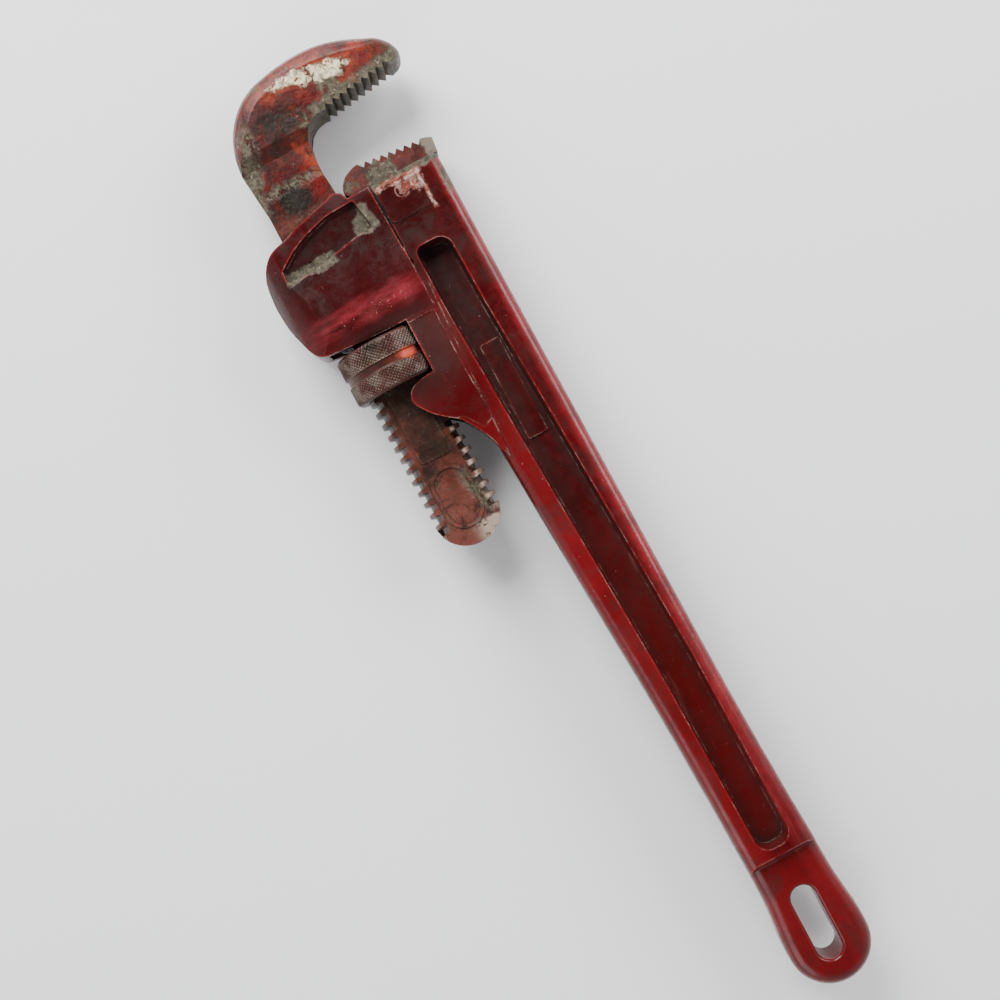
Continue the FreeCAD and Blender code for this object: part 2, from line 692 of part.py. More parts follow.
def cut_heel_socket(body):
    socket = new_sketch(body, "socket_outline")
    add_polygon(socket, [(-26.2, -22.0), (2.0, -22.0), (2.0, 16.4), (-26.2, 15.2)])
    pocket(body, "heel_socket", socket, "@tang_thick + 0.3")
    bore = new_sketch(body, "pin_bore_outline")
    add_circle(bore, size("pin_x"), size("pin_y"), size("pin_radius") + 0.02, "@pin_x", "@pin_y",
               "@pin_radius + 0.02")
    pocket(body, "pin_bore", bore, "@flange_thick", through=True)


def cut_spring_seats(body):
    """Blind hole for the coil spring in the ledge's floor, and the rivet's hole in the roof."""
    well = new_sketch(body, "coil_well", "XZ_Plane", -size("coil_floor_y"))
    well.setExpression("AttachmentOffset.Base.z", "-Dimensions.coil_floor_y")
    add_circle(well, size("coil_x"), 0.0001, size("coil_pocket_radius"), "@coil_x", "0.0001",
               "@coil_pocket_radius")
    pocket(body, "coil_seat", well, "@channel_floor_y - @coil_floor_y + 1", midplane=False)
    rivet = new_sketch(body, "rivet_hole_outline", "XZ_Plane", -size("roof_y"))
    rivet.setExpression("AttachmentOffset.Base.z", "-Dimensions.roof_y")
    add_circle(rivet, size("rivet_x"), 0.0001, size("rivet_radius") + 0.02, "@rivet_x", "0.0001",
               "@rivet_radius + 0.02")
    pocket(body, "rivet_hole", rivet, "@rivet_top_y - @roof_y + 0.05", midplane=False)


def build_handle():
    body = new_body("handle")
    add_eye(body)
    add_beam(body)
    add_housing(body)
    trim_housing(body)
    add_head(body)
    cut_beam_recess(body)
    add_name_panel(body)
    cut_cheek_details(body)
    add_heel_pads(body)
    cut_seam(body)
    cut_moving_room(body)
    cut_heel_socket(body)
    cut_spring_seats(body)
    return body


# ---------------------------------------------------------------- springs and rivet

def build_coil_spring():
    """Short compression spring standing along Y in the ledge, under the shank."""
    top = size("axis_y") - size("shank_radius") - 0.1
    wire = size("coil_wire")
    height = top - size("coil_floor_y") - wire - 0.1
    helix = Part.makeHelix(size("coil_pitch"), height, size("coil_radius"))
    start = helix.Edges[0].valueAt(helix.Edges[0].FirstParameter)
    section = Part.Wire(Part.makeCircle(wire / 2, start, Vector(0, 1, 0)))
    shape = Part.Wire(helix).makePipeShell([section], True, True)
    spring = doc.addObject("Part::Feature", "coil_spring")
    spring.Label = "coil_spring"
    spring.Shape = shape
    spring.Placement = Placement(
        Vector(size("coil_x"), size("coil_floor_y") + wire / 2 + 0.1, 0), Rotation(Vector(1, 0, 0), -90)
    )
    return spring


def build_flat_spring():
    """Bowed leaf under the housing's roof, bearing on the shank near the mouth."""
    body = new_body("flat_spring")
    thick = size("leaf_thick")
    seat = size("roof_y") - thick - 0.05
    touch = size("axis_y") + size("shank_radius") + 0.12
    under = [
        (-52.0, seat), (-41.0, seat), (-37.0, seat - 0.3), (-29.0, seat - 1.6), (-20.0, touch),
        (-14.0, touch + 1.2),
    ]
    over = [(x, y + thick) for x, y in reversed(under)]
    sketch = new_sketch(body, "leaf_outline")
    add_loop(sketch, [under[:2], under[1:], [under[-1], over[0]], over[:5], over[4:], [over[-1], under[0]]])
    pad(body, "leaf", sketch, "@leaf_width")
    hole = new_sketch(body, "rivet_hole_outline", "XZ_Plane", -size("roof_y"))
    add_circle(hole, size("rivet_x"), 0.0001, size("rivet_radius") + 0.02, "@rivet_x", "0.0001",
               "@rivet_radius + 0.02")
    pocket(body, "rivet_hole", hole, "6 * @leaf_thick", midplane=True)
    return body


def build_flat_spring_rivet():
    """Rivet with a low head under the leaf; its shank fills a hole in the housing's roof."""
    body = new_body("flat_spring_rivet")
    radius = size("rivet_radius")
    low = size("roof_y") - size("leaf_thick") - 0.06
    sketch = new_sketch(body, "rivet_section")
    x = size("rivet_x")
    top = size("rivet_top_y")
    add_polygon(sketch, [
        (x, low - 0.9), (x + 2.4, low - 0.9, 0.4), (x + 3.0, low), (x + radius, low), (x + radius, top),
        (x, top),
    ])
    turned = body.newObject("PartDesign::Revolution", "rivet")
    turned.Profile = sketch
    turned.ReferenceAxis = (sketch, ["Edge%d" % sketch.GeometryCount])
    turned.Angle = 360
    doc.recompute()
    return body


# ---------------------------------------------------------------- build, check and export

def check_and_export(nodes):
    doc.recompute()
    for thing in doc.Objects:
        if "Invalid" in thing.State or "Error" in thing.State:
            raise RuntimeError("%s failed: %s" % (thing.Name, thing.State))
    os.makedirs("parts", exist_ok=True)
    for node in nodes:
        shape = node.Shape
        if shape.isNull() or not shape.isValid():
            raise RuntimeError(node.Label + " has no valid shape")
        shape.exportStep("parts/%s.step" % node.Label)
        box = shape.BoundBox
        print("%-18s %9.1f mm3  solids %d  x %.1f..%.1f  y %.1f..%.1f  z %.1f..%.1f" % (
            node.Label, shape.Volume, len(shape.Solids), box.XMin, box.XMax, box.YMin, box.YMax, box.ZMin,
            box.ZMax))


check_and_export([
    build_handle(),
    build_hook_jaw(),
    build_heel_jaw(),
    build_heel_jaw_pin(),
    build_adjusting_nut(),
    build_coil_spring(),
    build_flat_spring(),
    build_flat_spring_rivet(),
])
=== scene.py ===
import json
import math

import bpy
from mathutils import Matrix, Vector


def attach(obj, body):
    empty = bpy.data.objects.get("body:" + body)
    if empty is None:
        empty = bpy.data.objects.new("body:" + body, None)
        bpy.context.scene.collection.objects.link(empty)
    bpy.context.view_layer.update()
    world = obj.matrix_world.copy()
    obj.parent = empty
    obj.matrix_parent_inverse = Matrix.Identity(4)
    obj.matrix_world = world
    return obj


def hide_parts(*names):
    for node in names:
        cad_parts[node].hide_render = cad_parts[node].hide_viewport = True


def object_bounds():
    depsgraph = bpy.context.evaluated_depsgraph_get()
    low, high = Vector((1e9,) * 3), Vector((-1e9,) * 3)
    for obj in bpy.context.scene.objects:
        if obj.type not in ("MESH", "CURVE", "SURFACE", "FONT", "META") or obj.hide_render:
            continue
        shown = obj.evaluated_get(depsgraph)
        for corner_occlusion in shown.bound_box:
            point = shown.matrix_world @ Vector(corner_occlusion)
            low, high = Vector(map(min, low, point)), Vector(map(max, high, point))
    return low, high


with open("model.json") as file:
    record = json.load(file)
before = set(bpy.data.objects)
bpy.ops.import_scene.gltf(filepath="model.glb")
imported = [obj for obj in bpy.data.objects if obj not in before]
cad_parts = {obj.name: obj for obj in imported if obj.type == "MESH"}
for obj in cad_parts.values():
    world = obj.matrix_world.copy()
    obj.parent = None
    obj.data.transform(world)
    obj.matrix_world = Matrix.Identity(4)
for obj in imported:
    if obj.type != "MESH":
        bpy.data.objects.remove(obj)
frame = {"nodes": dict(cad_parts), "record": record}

cad_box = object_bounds()
nodes = frame["nodes"]

# The nut's place and its thread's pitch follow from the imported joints; lengths are in metres.
behaviour = frame["record"]["behaviour"]
nut_joint = next(joint for joint in behaviour["joints"] if joint["name"] == "nut_spin")
NUT_X, AXIS_Y = nut_joint["pos_m"][:2]
PITCH = math.tau / behaviour["couplings"][0]["ratio"]

NUT_HALF = 0.00965
NUT_RADIUS = 0.01725
END_BEVEL = 0.0011
BAND_RADIUS = 0.01645
BAND_FROM, BAND_TO = -0.00185, 0.00165
BAND_SLOPE = 0.0006
KNURL_DEPTH = 0.00042
KNURL_FADE = 0.0004
KNURL_COUNT = 66
KNURL_RISE = 700.0
BORE_RADIUS = 0.01155
THREAD_RADIUS = 0.01350
THREAD_START = -0.1358
THREAD_FLAT = 0.00113
THREAD_FLANK = 0.00042
MOUTH_BEVEL = 0.0016


# ------------------------------------------------------------------ camera

def make_camera():
    """Looks straight down on the wrench's broad side; the handle runs to the lower right."""
    along_x = Vector((-0.4706, 0.8824))
    along_y = Vector((-0.8824, -0.4706))
    right = Vector((along_x[0], along_y[0], 0.0))
    up = Vector((along_x[1], along_y[1], 0.0))
    back = right.cross(up).normalized()
    distance = 0.667
    target = Vector((-0.1349, 0.0253, 0.0))
    data = bpy.data.cameras.new("camera")
    data.lens = 63.1
    data.sensor_width = 36.0
    data.clip_start = 0.01
    camera = bpy.data.objects.new("camera", data)
    place = Matrix((right, up, back)).transposed().to_4x4()
    place.translation = target + back * distance
    camera.matrix_world = place
    bpy.context.scene.collection.objects.link(camera)
    bpy.context.scene.camera = camera


# ------------------------------------------------------------------ node helper

class Shader:
    """A short way to write a node material."""

    def __init__(self, name):
        self.material = bpy.data.materials.new(name)
        self.material.use_nodes = True
        self.tree = self.material.node_tree
        self.tree.nodes.clear()
        self.place = self.add("ShaderNodeTexCoord").outputs["Object"]

    def add(self, kind, inputs=None, **settings):
        node = self.tree.nodes.new(kind)
        for key, value in settings.items():
            setattr(node, key, value)
        for key, value in (inputs or {}).items():
            self.feed(node.inputs[key], value)
        return node

    def feed(self, socket, value):
        """Links another node's output, or sets a constant."""
        if isinstance(value, bpy.types.NodeSocket):
            self.tree.links.new(value, socket)
        elif isinstance(value, tuple) and len(value) == 3 and socket.type == "RGBA":
            socket.default_value = (*value, 1.0)
        else:
            socket.default_value = value

    def noise(self, scale, detail=4.0, rough=0.55, warp=0.0, vector=None):
        """Cloudy values around 0.5; scale is in features per metre."""
        node = self.add("ShaderNodeTexNoise", {
            "Vector": vector or self.place, "Scale": scale, "Detail": detail, "Roughness": rough,
            "Distortion": warp,
        })
        return node.outputs["Fac"]

    def math(self, operation, a, b=0.0, clamp=False):
        node = self.add("ShaderNodeMath", {0: a, 1: b}, operation=operation)
        node.use_clamp = clamp
        return node.outputs[0]

    def times(self, first, second):
        return self.math("MULTIPLY", first, second)

    def fit(self, value, low, high, to_low=0.0, to_high=1.0):
        """Carries low..high over to to_low..to_high and stops at both ends."""
        node = self.add("ShaderNodeMapRange", {
            "Value": value, "From Min": low, "From Max": high, "To Min": to_low, "To Max": to_high,
        })
        node.clamp = True
        return node.outputs["Result"]

    def mix(self, share, a, b):
        """Colour a where share is 0 and colour b where it is 1."""
        node = self.add("ShaderNodeMix", data_type="RGBA", blend_type="MIX")
        node.clamp_factor = True
        self.feed(node.inputs[0], share)
        self.feed(node.inputs[6], a)
        self.feed(node.inputs[7], b)
        return node.outputs[2]

    def vector_math(self, operation, a, b):
        return self.add("ShaderNodeVectorMath", {0: a, 1: b}, operation=operation).outputs[0]

    def axis(self, letter, vector=None):
        node = self.add("ShaderNodeSeparateXYZ", {"Vector": vector or self.place})
        return node.outputs[letter]

    def stretched(self, x, y, z, turn=0.0):
        node = self.add("ShaderNodeMapping", {
            "Vector": self.place, "Scale": (x, y, z), "Rotation": (0.0, 0.0, turn),
        })
        return node.outputs[0]

    def bend(self, amount, scale):
        """Positions shaken by noise, so that borders drawn from them come out ragged."""
        noise = self.add("ShaderNodeTexNoise", {
            "Vector": self.place, "Scale": scale, "Detail": 7.0, "Roughness": 0.68,
        })
        shift = self.vector_math("SUBTRACT", noise.outputs["Color"], (0.5, 0.5, 0.5))
        shift = self.add("ShaderNodeVectorMath", {0: shift, "Scale": amount}, operation="SCALE")
        return self.vector_math("ADD", self.place, shift.outputs[0])

    def spot(self, centre, size, turn=0.0, soft=0.10, z=None, vector=None):
        """1 inside an oval seen from above, with its length turned from X by so many degrees.

        Given z, the oval is a ball-like blob at that height; otherwise it runs through both faces.
        """
        length, width = size
        shift = self.vector_math("SUBTRACT", vector or self.place, (*centre, z or 0.0))
        turned = self.add("ShaderNodeVectorRotate", {"Vector": shift, "Angle": -math.radians(turn)},
                          rotation_type="Z_AXIS").outputs[0]
        depth = 0.0 if z is None else 2.0 / width
        scaled = self.vector_math("MULTIPLY", turned, (2.0 / length, 2.0 / width, depth))
        away = self.add("ShaderNodeVectorMath", {0: scaled}, operation="LENGTH").outputs["Value"]
        return self.fit(away, 1.0 - soft, 1.0 + soft, 1.0, 0.0)

    def edges(self, radius, low=0.02, high=0.16):
        """1 on convex and concave edges, from how much a small bevel turns the normal."""
        bevel = self.add("ShaderNodeBevel", {"Radius": radius}, samples=6).outputs[0]
        normal = self.add("ShaderNodeNewGeometry").outputs["Normal"]
        same = self.add("ShaderNodeVectorMath", {0: bevel, 1: normal}, operation="DOT_PRODUCT")
        return self.fit(self.math("SUBTRACT", 1.0, same.outputs["Value"]), low, high)

    def crevice_shade(self, distance, low=0.35, high=0.9):
        """1 deep in corners and slots, from ambient occlusion: marks where painted shade goes."""
        shade = self.add("ShaderNodeAmbientOcclusion", {"Distance": distance}, samples=8)
        return self.fit(shade.outputs["AO"], low, high, 1.0, 0.0)

    def most(self, *masks):
        """The largest of several masks."""
        value = masks[0]
        for mask in masks[1:]:
            value = self.math("MAXIMUM", value, mask)
        return value

    def within(self, value, low, high, soft):
        """1 where the value lies between low and high, with soft borders."""
        rise = self.fit(value, low - soft, low + soft)
        return self.times(rise, self.fit(value, high - soft, high + soft, 1.0, 0.0))

    def streaks(self, scale, x_stretch, y_stretch, turn=0.0, low=0.6, high=0.68):
        """Fine scratches drawn out along one direction."""
        drawn = self.stretched(x_stretch, y_stretch, 1.0, turn)
        return self.fit(self.noise(scale, 3.0, 0.55, 0.0, drawn), low, high)

    def finish(self, colour, roughness, metallic, height, depth, coat=0.0, coat_rough=0.15, specular=0.5):
        bump = self.add("ShaderNodeBump", {"Height": height, "Strength": 1.0, "Distance": depth})
        surface = self.add("ShaderNodeBsdfPrincipled", {
            "Base Color": colour, "Roughness": roughness, "Metallic": metallic, "Normal": bump.outputs[0],
            "Coat Weight": coat, "Coat Roughness": coat_rough, "Specular IOR Level": specular,
        })
        output = self.add("ShaderNodeOutputMaterial")
        self.tree.links.new(surface.outputs[0], output.inputs[0])
        return self.material


# ------------------------------------------------------------------ materials
# Colours are linear red, green and blue.

PAINT_DARK = (0.020, 0.0012, 0.0016)
PAINT_MID = (0.070, 0.0024, 0.0036)
PAINT_BRIGHT = (0.135, 0.0050, 0.0070)
# the two grime colours paint real dirt and also the painted shade in hollows
GRIME_AND_SHADE = (0.0060, 0.0052, 0.0040)
GREEN_GRIME_AND_SHADE = (0.0105, 0.0110, 0.0070)
METAL_LIGHT = (0.112, 0.092, 0.062)
METAL_DARK = (0.034, 0.029, 0.019)
CHIP = (0.25, 0.135, 0.115)
# orange: undercoat and worn paint, also a painted highlight on the hook's crown
ORANGE = (0.21, 0.026, 0.009)
PALE = (0.38, 0.27, 0.215)
# cream patch colour, partly a painted highlight
CREAM = (0.72, 0.60, 0.41)
RUST = (0.09, 0.026, 0.009)

# handle enamel
PAINT_FLECK = (0.115, 0.0055, 0.0070)
# painted highlight on the back's rounded strip
BACK_HIGHLIGHT_RED = (0.205, 0.0150, 0.0190)
LEDGE_RED = (0.034, 0.0010, 0.0014)
HOUSING_RED = (0.015, 0.0014, 0.0013)
HEAD_RED = (0.022, 0.0028, 0.0024)
WEB_RED = (0.105, 0.0038, 0.0046)
# painted highlight on the housing's barrel
BARREL_HIGHLIGHT_RED = (0.215, 0.020, 0.028)
# edges: rubbed paint and painted highlight
EDGE_RED = (0.225, 0.0150, 0.0150)
PRICK = (0.36, 0.25, 0.23)
PRIMER = (0.19, 0.15, 0.12)
SCRATCH = (0.26, 0.055, 0.05)

# hook jaw
HOOK_DARK = (0.030, 0.0022, 0.0020)
HOOK_RED = (0.120, 0.0072, 0.0058)
SHANK_DARK = (0.030, 0.0095, 0.0068)
SHANK_RED = (0.112, 0.0300, 0.0210)
SHANK_END = (0.150, 0.048, 0.037)
UNDERCOAT = (0.150, 0.022, 0.009)
# dark oil, also the painted shade in the bare metal's hollows
OIL_AND_SHADE = (0.011, 0.009, 0.006)
CREAM_DIRTY = (0.21, 0.175, 0.11)

# heel jaw
HEEL_DARK = (0.024, 0.0040, 0.0030)
HEEL_RED = (0.100, 0.0115, 0.0070)
HEEL_FLECK = (0.17, 0.060, 0.045)
HEEL_FOOT = (0.165, 0.135, 0.105)
HEEL_EDGE = (0.21, 0.175, 0.14)

# nut
NUT_DARK = (0.018, 0.0060, 0.0042)
NUT_BROWN = (0.055, 0.0115, 0.0080)
NUT_RED = (0.080, 0.019, 0.013)
NUT_LIGHT = (0.098, 0.056, 0.036)
NUT_EDGE = (0.29, 0.25, 0.20)
BAND_DARK = (0.026, 0.0085, 0.0065)
BAND_RED = (0.085, 0.0150, 0.0095)
# painted highlight on the nut's lower side
BAND_HIGHLIGHT_ORANGE = (0.40, 0.040, 0.011)

# bare metal
METAL_GREEN = (0.056, 0.058, 0.034)
METAL_BRIGHT = (0.24, 0.215, 0.17)


def bare_metal(s):
    """Worn iron: grey-green, speckled and pitted."""
    tone = s.mix(s.fit(s.noise(520.0, 6.0, 0.72), 0.40, 0.60), METAL_DARK, METAL_LIGHT)
    green = s.mix(s.fit(s.noise(130.0, 5.0, 0.6), 0.48, 0.70, 0.0, 0.5), tone, METAL_GREEN)
    return s.mix(s.fit(s.noise(900.0, 2.0, 0.5), 0.64, 0.70, 0.0, 0.7), green, METAL_BRIGHT)


def enamel():
    """Deep crimson enamel on cast iron: worn bright and painted with highlights along the edges, sooty and
    painted with shade in the hollows.
    """
    s = Shader("crimson_enamel")
    shaken = s.bend(0.0060, 170.0)
    x = s.axis("X")
    y = s.axis("Y")
    z = s.math("ABSOLUTE", s.axis("Z"))
    ragged_x = s.axis("X", shaken)
    ragged_y = s.axis("Y", shaken)
    mottle = s.fit(s.noise(22.0, 8.0, 0.70, 0.6), 0.32, 0.68)
    paint = s.mix(mottle, PAINT_DARK, PAINT_MID)
    fine = s.fit(s.noise(260.0, 6.0, 0.7), 0.42, 0.68, 0.0, 0.40)
    paint = s.mix(fine, paint, PAINT_FLECK)
    # the beam's flat rims are brighter on the grip side, and the back's rounded strip is palest: a painted
    # highlight where that rounding faces the light
    beam = s.times(s.fit(z, 0.0090, 0.0105), s.fit(x, -0.030, -0.062))
    grip_rim = s.times(s.times(beam, s.fit(y, -0.004, 0.004)),
                      s.fit(s.noise(34.0, 6.0, 0.66), 0.30, 0.62, 0.35, 1.0))
    paint = s.mix(grip_rim, paint, PAINT_BRIGHT)
    back = s.times(s.fit(y, -0.0098, -0.0128), s.fit(x, -0.30, -0.24, 0.35, 1.0))
    back = s.times(back, s.fit(s.noise(90.0, 6.0, 0.7), 0.30, 0.64, 0.35, 1.0))
    paint = s.mix(back, paint, BACK_HIGHLIGHT_RED)
    ledge = s.spot((-0.090, 0.024), (0.050, 0.034), soft=0.5)
    paint = s.mix(s.times(ledge, 0.75), paint, LEDGE_RED)
    # the housing and the head are darker than the beam, the hanging eye a little brighter
    housing = s.spot((-0.0360, 0.0330), (0.062, 0.070), soft=0.35, vector=shaken)
    paint = s.mix(s.times(housing, s.fit(mottle, 0.0, 1.0, 0.92, 0.60)), paint, HOUSING_RED)
    head = s.spot((-0.0190, 0.0030), (0.022, 0.026), soft=0.4, vector=shaken)
    paint = s.mix(s.times(head, 0.6), paint, HEAD_RED)
    low_web = s.times(s.fit(z, 0.0100, 0.0075), s.fit(x, -0.130, -0.190, 0.0, 0.75))
    paint = s.mix(low_web, paint, WEB_RED)
    eye = s.fit(x, -0.2950, -0.3150, 0.0, 0.55)
    paint = s.mix(eye, paint, PAINT_BRIGHT)
    # soot and oil along the web and under the jaw, soot with a painted shadow round the nut, and painted
    # shade in every corner
    on_web = s.times(s.fit(z, 0.0100, 0.0075), s.within(x, -0.300, -0.036, 0.002))
    on_web = s.times(on_web, s.fit(s.math("ABSOLUTE", y), 0.0135, 0.0120))
    web_cloud = s.fit(s.noise(30.0, 7.0, 0.68, 0.8, s.stretched(0.4, 1.6, 1.0)), 0.38, 0.62)
    lean = s.math("ADD", ragged_y, s.times(x, -0.028))
    soot_line = s.within(lean, -0.0058, -0.0012, 0.0022)
    on_web = s.times(on_web, s.fit(x, -0.220, -0.110, 0.35, 1.0))
    soot = s.times(on_web, s.most(s.times(web_cloud, 0.55), s.times(soot_line, 0.80)))
    corner_occlusion = s.crevice_shade(0.007, 0.40, 0.95)
    corner_shade = s.times(corner_occlusion, s.fit(s.noise(95.0, 6.0, 0.7), 0.25, 0.60, 0.55, 1.0))
    nut_shadow_and_soot = s.spot((NUT_X - 0.002, AXIS_Y - 0.010), (0.034, 0.044), soft=0.35, vector=shaken)
    by_mouth = s.spot((-0.020, 0.004), (0.034, 0.026), soft=0.5, vector=shaken)
    clouds = s.fit(s.noise(52.0, 8.0, 0.72, 0.9), 0.46, 0.66)
    dirt_and_shade = s.most(s.times(corner_shade, 0.92), soot, s.times(nut_shadow_and_soot, 0.55),
                  s.times(clouds, 0.45), s.times(by_mouth, s.times(clouds, 0.85)))
    colour = s.mix(dirt_and_shade, paint, s.mix(s.noise(60.0, 3.0), GRIME_AND_SHADE, GREEN_GRIME_AND_SHADE))
    # the housing's barrel: a painted highlight band just behind its crest, speckled
    barrel_highlight = s.times(s.within(ragged_x, -0.0530, -0.0440, 0.0020), s.within(y, 0.014, 0.058, 0.006))
    drawn = s.noise(60.0, 6.0, 0.66, 0.3, s.stretched(2.6, 0.45, 1.0))
    barrel_highlight = s.times(barrel_highlight, s.fit(drawn, 0.40, 0.60))
    colour = s.mix(s.times(barrel_highlight, 0.75), colour, BARREL_HIGHLIGHT_RED)
    pricks = s.times(s.within(x, -0.0525, -0.0470, 0.001), s.within(y, 0.018, 0.046, 0.004))
    pricks = s.times(pricks, s.fit(s.noise(1500.0, 2.0, 0.5), 0.67, 0.73))
    # wear down to primer and metal; open edges painted brighter red as rubbed paint and painted highlight
    open_edge = s.times(s.edges(0.0016, 0.01, 0.16), s.math("SUBTRACT", 1.0, corner_occlusion, clamp=True))
    edge_wear_and_highlight = s.times(open_edge, s.fit(s.noise(48.0, 7.0, 0.72), 0.38, 0.60, 0.10, 0.95))
    colour = s.mix(edge_wear_and_highlight, colour, EDGE_RED)
    chipped = s.times(s.edges(0.0006, 0.015, 0.10), s.fit(s.noise(150.0, 8.0, 0.78), 0.50, 0.56))
    specks = s.fit(s.noise(620.0, 3.0, 0.5), 0.735, 0.75)
    rear_wall = s.times(s.within(ragged_x, -0.0278, -0.0230, 0.0004),
                        s.within(ragged_y, 0.0365, 0.0570, 0.0008))
    foot = s.times(s.within(ragged_x, -0.0232, -0.0128, 0.0006), s.within(ragged_y, 0.0170, 0.0262, 0.0006))
    foot = s.times(foot, s.fit(s.math("ADD", ragged_y, ragged_x), 0.0068, 0.0080, 1.0, 0.0))
    toe = s.times(s.fit(ragged_x, -0.0265, -0.0215), s.fit(ragged_y, -0.0118, -0.0130))
    lip = s.times(s.fit(ragged_x, -0.0112, -0.0102), s.fit(y, 0.0135, 0.0125))
    big = s.most(rear_wall, foot, s.times(toe, s.fit(s.noise(190.0, 6.0, 0.75), 0.42, 0.50)), lip)
    big = s.times(big, s.fit(s.noise(420.0, 6.0, 0.75), 0.30, 0.40))
    big = s.times(big, s.fit(z, 0.0070, 0.0080))
    colour = s.mix(s.times(specks, 0.5), colour, CHIP)
    colour = s.mix(pricks, colour, PRICK)
    colour = s.mix(big, colour, bare_metal(s))
    colour = s.mix(chipped, colour, s.mix(s.noise(140.0), CHIP, PRIMER))
    # worn corner of the heel pad
    pad_top = s.times(s.within(ragged_x, -0.0124, -0.0100, 0.0004), s.within(y, -0.0066, 0.0128, 0.0008))
    pad_side = s.times(s.within(ragged_y, -0.0062, -0.0046, 0.0004), s.within(x, -0.0265, -0.0100, 0.0010))
    pad_rub = s.spot((-0.0150, 0.0000), (0.0050, 0.0085), soft=0.3, vector=s.bend(0.014, 260.0))
    pad_wear = s.times(s.most(pad_top, pad_side, pad_rub), s.fit(s.noise(330.0, 6.0, 0.74), 0.36, 0.50))
    pad_wear = s.times(pad_wear, s.fit(z, 0.0112, 0.0118))
    colour = s.mix(pad_wear, colour, s.mix(s.fit(s.noise(330.0, 5.0, 0.7), 0.46, 0.60), ORANGE, PALE))
    hair = s.times(s.streaks(120.0, 0.15, 2.0, 0.35), s.fit(s.noise(40.0, 4.0), 0.50, 0.60))
    colour = s.mix(s.times(hair, 0.22), colour, SCRATCH)
    bare = s.most(chipped, big, pad_wear)
    rough = s.fit(s.noise(70.0, 7.0, 0.72), 0.32, 0.68, 0.14, 0.34)
    rough = s.math("ADD", rough, s.times(s.most(dirt_and_shade, bare), 0.34), clamp=True)
    cast = s.times(s.noise(380.0, 5.0, 0.6), 0.35)
    dents = s.times(s.noise(75.0, 4.0, 0.55), 1.2)
    height = s.math("SUBTRACT", s.math("ADD", cast, dents), s.times(s.most(bare, specks), 0.6))
    return s.finish(colour, rough, s.times(big, 0.3), height, 0.00022, coat=0.14, coat_rough=0.08,
                    specular=0.24)


